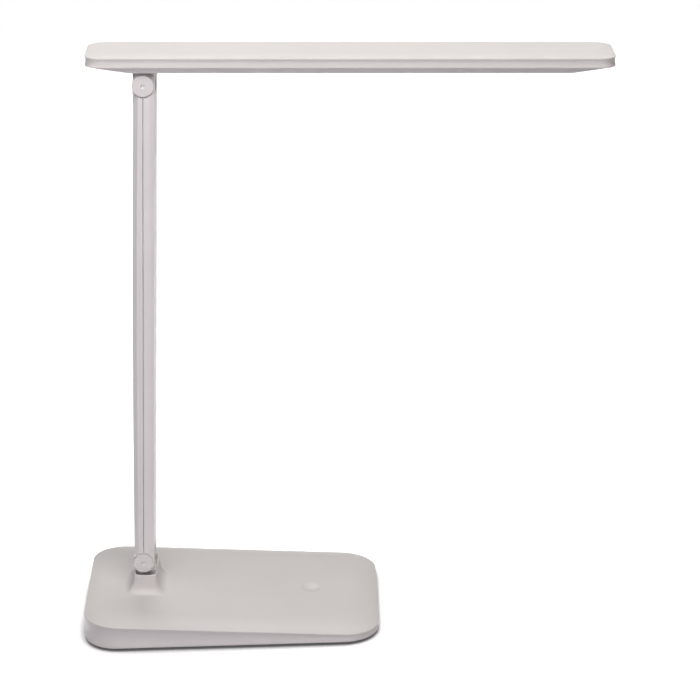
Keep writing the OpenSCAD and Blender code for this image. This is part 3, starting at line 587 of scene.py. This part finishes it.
def hinge_caps(name, node, height, diameter, dimple_depth):
    """The two caps of one hinge, each a profile spun about the hinge axis."""
    bm = bmesh.new()
    radius = diameter / 2
    profile = [(0.0, cap_proud - dimple_depth)]
    profile += [(dimple_r * share, cap_proud - dimple_depth * (1 - share ** 2))
                for share in (0.3, 0.6, 0.85, 1.0)]
    profile += [(dimple_r + soft_edge, cap_proud), (radius - cap_bevel, cap_proud),
                (radius - soft_edge, cap_proud - 0.1 * mm), (radius, cap_proud - cap_bevel),
                (radius, -seat_depth), (plug_r, -seat_depth), (plug_r, -plug_l), (0.0, -plug_l)]
    verts = [bm.verts.new((x, arm_w / 2 + y, 0.0)) for x, y in profile]
    edges = [bm.edges.new(pair) for pair in zip(verts, verts[1:])]
    bmesh.ops.spin(bm, geom=verts + edges, angle=2 * math.pi, steps=72, use_merge=True, **around)
    bmesh.ops.remove_doubles(bm, verts=bm.verts[:], dist=1e-6)
    bmesh.ops.recalc_face_normals(bm, faces=bm.faces[:])
    other = bm.copy()
    bmesh.ops.rotate(other, matrix=Matrix.Rotation(math.pi, 3, "Z"), verts=other.verts[:])
    add_solid(bm, other)
    bmesh.ops.translate(bm, vec=(0.0, 0.0, height), verts=bm.verts[:])
    for edge in bm.edges:
        edge.smooth = edge.calc_face_angle(0.0) < math.radians(50)
    place_piece(name, bm, "arm", node, cap_white, frame_at=arm_frame)


hinge_caps("low_caps", "lower_hinge_caps", 0.0, 11.7 * mm, 0.4 * mm)
hinge_caps("top_caps", "upper_hinge_caps", arm_l, 12.5 * mm, 0.8 * mm)

# Top shell of the head
# A long shallow cover in white plastic with a crisp rim, a soft crown and a hollow side wall
# that ends in a fine lower lip. Four screws hold it to the bracket inside.
head_l, head_w, head_corner_r, head_overhang = 300 * mm, 38.6 * mm, 8.3 * mm, 32.7 * mm
head_tilt, head_mid = math.radians(1.65), head_l / 2 - head_overhang
head_left, head_right = head_mid - head_l / 2, head_mid + head_l / 2
wall_low, rim_z, head_wall, head_crown = 11.4 * mm, 17 * mm, 1.8 * mm, 1.15 * mm
head_margin_x, head_margin_y, head_crown_power = 18 * mm, 10 * mm, 3.5
side_low, side_high, side_hollow = wall_low + 0.6 * mm, rim_z - 0.35 * mm, 0.5 * mm
top_hinge = arm_frame @ Vector((0.0, 0.0, arm_l))
head_frame = tilted(top_hinge, head_tilt)
bm = bmesh.new()
face, spokes = rounded_face(bm, head_l, head_w, head_corner_r, 14)


def head_ring(inset, height):
    return ring(spokes, head_l - 2 * inset, head_w - 2 * inset, head_corner_r - inset, height,
                head_mid)


def head_crown_ring(inset, share):
    return ring(spokes, head_l - 2 * inset - 2 * head_margin_x * share,
                head_w - 2 * inset - 2 * head_margin_y * share,
                (head_corner_r - inset) * (1 - corner_draw * share),
                rim_z - inset + head_crown * (1 - (1 - share) ** head_crown_power), head_mid)


face = set_ring(face, head_crown_ring(head_wall, 1.0))
ceiling = face.edges[:]
for share in (0.6, 0.3, 0.0):
    face = grow_ring(bm, face, head_crown_ring(head_wall, share))
for inset, lift in ((head_wall, 0.0), (0.35 * mm, 0.0), (0.15 * mm, 0.05 * mm),
                    (0.04 * mm, 0.16 * mm), (0.0, 0.32 * mm)):
    face = grow_ring(bm, face, head_ring(inset, wall_low + lift))
for share in steps(10):
    face = grow_ring(bm, face, head_ring(side_hollow * 4 * share * (1 - share),
                                         side_low + share * (side_high - side_low)))
for inset, drop in ((0.02 * mm, 0.2 * mm), (0.09 * mm, 0.08 * mm), (0.2 * mm, 0.02 * mm)):
    face = grow_ring(bm, face, head_ring(inset, rim_z - drop))
for share in (0.02, 0.045, 0.075, 0.11, 0.15, 0.2, 0.26, 0.34, 0.44, 0.57, 0.75, 1.0):
    face = grow_ring(bm, face, head_crown_ring(0.0, share))
bmesh.ops.edgeloop_fill(bm, edges=ceiling)
bmesh.ops.recalc_face_normals(bm, faces=bm.faces[:])

# the long faces are cut across, so that none of them is a thin sliver
head_cuts = steps(24, head_left, head_right)[1:-1]
cut_across(bm, head_cuts)
place_piece("head_housing", bm, "head", "head_top_shell", shell_white,
            frame_at=head_frame)

# Tray of the head
# The shallower lower half, which snaps into the top shell. It slopes up at both ends, and has
# a window for the diffuser and an opening for the neck of the bracket.
tray_gap, tray_wall, tray_inset, tray_lip = 8 * mm, 1.6 * mm, 1.95 * mm, 2.6 * mm
ramp_top, ramp_foot, tray_edge_r, opening_edge_r = 5 * mm, 25 * mm, 0.55 * mm, 0.12 * mm
window_l, window_w, window_r, window_start = 205.3 * mm, 26 * mm, 3 * mm, 32 * mm
window_mid, opening_gap = window_start + window_l / 2, 0.15 * mm


def rounded_block(length, width, radius, low, high, shift=0.0):
    """A block with rounded upright edges."""
    bm = bmesh.new()
    face, spokes = rounded_face(bm, length, width, radius, 10)
    face = set_ring(face, ring(spokes, length, width, radius, low, shift))
    far = bmesh.ops.extrude_face_region(bm, geom=[face])["geom"]
    far = [item for item in far if isinstance(item, bmesh.types.BMVert)]
    bmesh.ops.translate(bm, vec=(0.0, 0.0, high - low), verts=far)
    bmesh.ops.recalc_face_normals(bm, faces=bm.faces[:])
    return bm


def tray_solid(inset, lift, edge_r):
    """The tray's outline from the side, drawn across the head and crossed with its outline
    in plan, with its lower edges rounded."""
    bm = bmesh.new()
    left, right = head_left + inset, head_right - inset
    top = wall_low + tray_lip + lift
    outline = [(left + tray_inset, top), (left + tray_inset, wall_low + lift),
               (left + ramp_top, wall_low + lift), (left + ramp_foot, tray_gap + lift),
               (right - ramp_foot, tray_gap + lift), (right - ramp_top, wall_low + lift),
               (right - tray_inset, wall_low + lift), (right - tray_inset, top)]
    side = [bm.verts.new((x, -head_w / 2, z)) for x, z in outline]
    face = bmesh.ops.contextual_create(bm, geom=side)["faces"][0]
    far = bmesh.ops.extrude_face_region(bm, geom=[face])["geom"]
    far = [item for item in far if isinstance(item, bmesh.types.BMVert)]
    bmesh.ops.translate(bm, vec=(0.0, head_w, 0.0), verts=far)
    bmesh.ops.recalc_face_normals(bm, faces=bm.faces[:])
    plan = rounded_block(head_l - 2 * (tray_inset + inset), head_w - 2 * (tray_inset + inset),
                         head_corner_r - tray_inset - inset, 0.0, 2 * rim_z, head_mid)
    bm = shaped(bm, plan, "INTERSECT")
    if edge_r:
        sharp = [edge for edge in bm.edges if edge.calc_face_angle(0.0) > 1.0
                 and edge.calc_length() > 0.1 * mm
                 and max(vert.co.z for vert in edge.verts) < wall_low + 0.1 * mm]
        bmesh.ops.bevel(bm, geom=sharp, offset=edge_r, offset_type="OFFSET", segments=4,
                        profile=0.5, affect="EDGES", material=-1)
    return bm


bm = shaped(tray_solid(0.0, 0.0, tray_edge_r), tray_solid(tray_wall, tray_wall, 0.0))
bm = shaped(bm, rounded_block(window_l + 2 * opening_gap, window_w + 2 * opening_gap, window_r,
                              0.0, rim_z, window_mid))
bm = shaped(bm, block((-knuckle_r - opening_gap, -knuckle_w / 2 - opening_gap, 0.0),
                      (knuckle_r + opening_gap, knuckle_w / 2 + opening_gap, rim_z)))
cut_across(bm, head_cuts)
place_piece("head_tray_shell", bm, "head", "head_tray", shell_white,
            rounding=opening_edge_r, frame_at=head_frame)

# Diffuser and what lies on it
# An opal sheet with a flange clips into the window. Over it lie a clear guide plate, a white
# reflector sheet, and two narrow boards whose lamps shine into the long edges of the guide.
set_back, sheet_rim_w, sheet_rim_t, sheet_edge_r = 0.08 * mm, 2 * mm, 1 * mm, 0.2 * mm
rim_low = tray_gap + tray_wall
bm = rounded_block(window_l, window_w, window_r, tray_gap + set_back, rim_low, window_mid)
add_solid(bm, rounded_block(window_l + 2 * sheet_rim_w, window_w + 2 * sheet_rim_w, window_r,
                            rim_low, rim_low + sheet_rim_t, window_mid))
opal = finish_of("opal_diffuser", (0.86, 0.85, 0.82), tone=0.01, roughness=0.36, grain=0.1,
                 Subsurface_Weight=0.2)
opal.node_tree.nodes["Principled BSDF"].inputs["Subsurface Scale"].default_value = 1.0 * mm
place_piece("diffuser_sheet", bm, "head", "diffuser", opal,
            rounding=sheet_edge_r, frame_at=head_frame)
dress(["light_guide"], finish_of("clear_guide", (0.93, 0.95, 0.95), tone=0.01, roughness=0.08,
                                 uneven=0.02, grain=0.05, Transmission_Weight=0.9, IOR=1.49))
dress(["reflector_sheet"], finish_of("white_sheet", (0.85, 0.85, 0.85), roughness=0.6))
dress(["led_boards"], circuit_board("led_board", (0.62, 0.62, 0.56), (0.70, 0.66, 0.40)))

# Bracket of the head
# A moulded neck with a round knuckle that turns between the upper ears, and a flange inside
# the head that is screwed to the top shell.
bracket_l, flange_half_w, tray_floor, bracket_t = 26 * mm, 12 * mm, 9.6 * mm, 2.4 * mm
neck_left, neck_low, neck_sunk = 0.8 * mm, 0.8 * knuckle_r, 0.2 * mm
screw_places, screw_side = (11 * mm, 20 * mm), 9 * mm
head_seat_r, head_seat_depth = 2.55 * mm, 1.1 * mm
neck_l = tray_floor + bracket_t - neck_sunk
bm = shaped(hinge_tab(knuckle_r, neck_l, knuckle_w, knuckle_edge_r),
            rod(pin_r, -knuckle_w, knuckle_w))
bm = shaped(bm, block((-knuckle_r - mm, -knuckle_w, neck_low), (neck_left, knuckle_w, tray_floor)))
flange = block((-knuckle_r, -flange_half_w, tray_floor),
               (bracket_l, flange_half_w, tray_floor + bracket_t))
for x in screw_places:
    for y in (-screw_side, screw_side):
        seat = rod(head_seat_r, tray_floor - mm, tray_floor + head_seat_depth)
        seat.transform(Matrix.Translation((x, y, 0.0)) @ Matrix.Rotation(math.pi / 2, 4, "X"))
        flange = shaped(flange, seat)
add_solid(bm, flange)
place_piece("head_neck", bm, "head", "head_bracket", shell_white,
            frame_at=head_frame)

# Floor and light
# White paper with a painted contact shadow: ambient occlusion darkens its colour and its glow
# close to the lamp. It can be seen through from below, with soft boxes above, behind, in front
# and at the left, and a plain white surround.
floor_half, shade_reach, shade_power = 1.5, 18 * mm, 2.5
paper_tone, glow_gain, glow_least = 2.6, 0.83, 0.09
bm = bmesh.new()
bmesh.ops.create_grid(bm, x_segments=1, y_segments=1, size=floor_half)
mesh = bpy.data.meshes.new("floor")
bm.to_mesh(mesh)
bm.free()
floor = bpy.data.objects.new("floor", mesh)
bpy.context.scene.collection.objects.link(floor)
floor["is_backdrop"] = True


def seen_directly(nodes, links):
    """1 on camera, glossy and transmission rays, otherwise 0."""
    path = nodes.new("ShaderNodeLightPath")
    total = path.outputs["Is Camera Ray"]
    for name in ("Is Glossy Ray", "Is Transmission Ray"):
        add = nodes.new("ShaderNodeMath")
        add.operation = "MAXIMUM"
        links.new(total, add.inputs[0])
        links.new(path.outputs[name], add.inputs[1])
        total = add.outputs["Value"]
    return total


paper = bpy.data.materials.new("floor_paper")
paper.use_nodes = True
nodes, links = paper.node_tree.nodes, paper.node_tree.links
nodes.remove(nodes["Principled BSDF"])
away = nodes.new("ShaderNodeBsdfDiffuse")
away.inputs["Color"].default_value = (0.36, 0.33, 0.38, 1.0)
near = nodes.new("ShaderNodeBsdfDiffuse")
# painted contact shadow: ambient occlusion near the lamp, sharpened by a power, darkens the paper's
# colour
contact_shadow = nodes.new("ShaderNodeAmbientOcclusion")
contact_shadow.samples = 8
contact_shadow.inputs["Distance"].default_value = shade_reach
deepened_shadow = nodes.new("ShaderNodeMath")
deepened_shadow.operation = "POWER"
deepened_shadow.inputs[1].default_value = shade_power
links.new(contact_shadow.outputs["AO"], deepened_shadow.inputs[0])
shadowed_paper = nodes.new("ShaderNodeVectorMath")
shadowed_paper.operation = "SCALE"
shadowed_paper.inputs[0].default_value = (paper_tone,) * 3
links.new(deepened_shadow.outputs["Value"], shadowed_paper.inputs["Scale"])
links.new(shadowed_paper.outputs["Vector"], near.inputs["Color"])
glow = nodes.new("ShaderNodeEmission")
glow.inputs["Color"].default_value = (1.0, 1.0, 1.0, 1.0)
# the glow fades in the same painted contact shadow, down to a least strength
glow_share = nodes.new("ShaderNodeMath")
glow_share.operation = "MULTIPLY_ADD"
glow_share.inputs[1].default_value = glow_gain
glow_share.inputs[2].default_value = glow_least
links.new(deepened_shadow.outputs["Value"], glow_share.inputs[0])
links.new(glow_share.outputs["Value"], glow.inputs["Strength"])
white = nodes.new("ShaderNodeAddShader")
links.new(near.outputs["BSDF"], white.inputs[0])
links.new(glow.outputs["Emission"], white.inputs[1])
mix = nodes.new("ShaderNodeMixShader")
links.new(seen_directly(nodes, links), mix.inputs["Fac"])
links.new(away.outputs["BSDF"], mix.inputs[1])
links.new(white.outputs["Shader"], mix.inputs[2])
sides = nodes.new("ShaderNodeNewGeometry")
clear = nodes.new("ShaderNodeBsdfTransparent")
one_sided = nodes.new("ShaderNodeMixShader")
links.new(sides.outputs["Backfacing"], one_sided.inputs["Fac"])
links.new(mix.outputs["Shader"], one_sided.inputs[1])
links.new(clear.outputs["BSDF"], one_sided.inputs[2])
links.new(one_sided.outputs["Shader"], nodes["Material Output"].inputs["Surface"])
mesh.materials.append(paper)

world = bpy.data.worlds.new("surround")
bpy.context.scene.world = world
world.use_nodes = True
nodes, links = world.node_tree.nodes, world.node_tree.links
back = nodes["Background"]
links.new(seen_directly(nodes, links), back.inputs["Strength"])
back.inputs["Color"].default_value = (1.0, 1.0, 1.0, 1.0)


def soft_box(name, place, aim, width, height, power, tint=(1.0, 1.0, 1.0)):
    """An area light at a place that looks at an aim."""
    data = bpy.data.lights.new(name, "AREA")
    data.shape = "RECTANGLE"
    data.size = width
    data.size_y = height
    data.energy = power
    data.color = tint
    light = bpy.data.objects.new(name, data)
    bpy.context.scene.collection.objects.link(light)
    turn = (Vector(aim) - Vector(place)).to_track_quat("-Z", "Y").to_matrix().to_4x4()
    light.matrix_world = Matrix.Translation(place) @ turn
    light.visible_camera = False


soft_box("soft_box_high", (0.1, -0.5, 1.2), (0.02, 0.0, 0.2), 0.6, 0.4, 6.9,
         (1.0, 0.96, 0.945))
soft_box("soft_box_behind", (0.15, 0.75, 1.2), (0.05, 0.0, 0.2), 1.0, 0.8, 4.4,
         (1.0, 0.965, 0.955))
soft_box("soft_box_front", (0.0, -0.95, 0.22), (-0.03, 0.0, 0.18), 0.3, 0.2, 2.0,
         (0.98, 0.935, 1.0))
soft_box("soft_box_left", (-0.35, -0.3, 0.62), (-0.06, 0.0, 0.32), 0.3, 0.3, 0.5)

# Camera
# The photograph's viewing angle: a long lens a little above the head of the lamp, which
# looks down at the middle of the arm.
camera_place = Vector((0.06927, -1.4886, 0.7246))
camera_right = Vector((0.999580, -0.013416, -0.025703))
camera_up = Vector((0.028778, 0.351158, 0.935874))
sensor, lens_px, frame_px = 36.0, 2687.0, 700.0
right_px, down_px = 1.0, 1.1
ahead = -camera_right.cross(camera_up)
ahead += (camera_right * right_px - camera_up * down_px) / lens_px
camera_back = -ahead.normalized()
camera_right = camera_up.cross(camera_back).normalized()
camera_up = camera_back.cross(camera_right)
data = bpy.data.cameras.new("camera")
data.sensor_width = sensor
data.lens = sensor * lens_px / frame_px
data.clip_start = 0.01
data.clip_end = 50.0
camera = bpy.data.objects.new("camera", data)
bpy.context.scene.collection.objects.link(camera)
turn = Matrix((camera_right, camera_up, camera_back)).transposed()
camera.matrix_world = Matrix.Translation(camera_place) @ turn.to_4x4()
bpy.context.scene.camera = camera
bpy.context.scene.view_settings.view_transform = "Standard"

low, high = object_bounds()
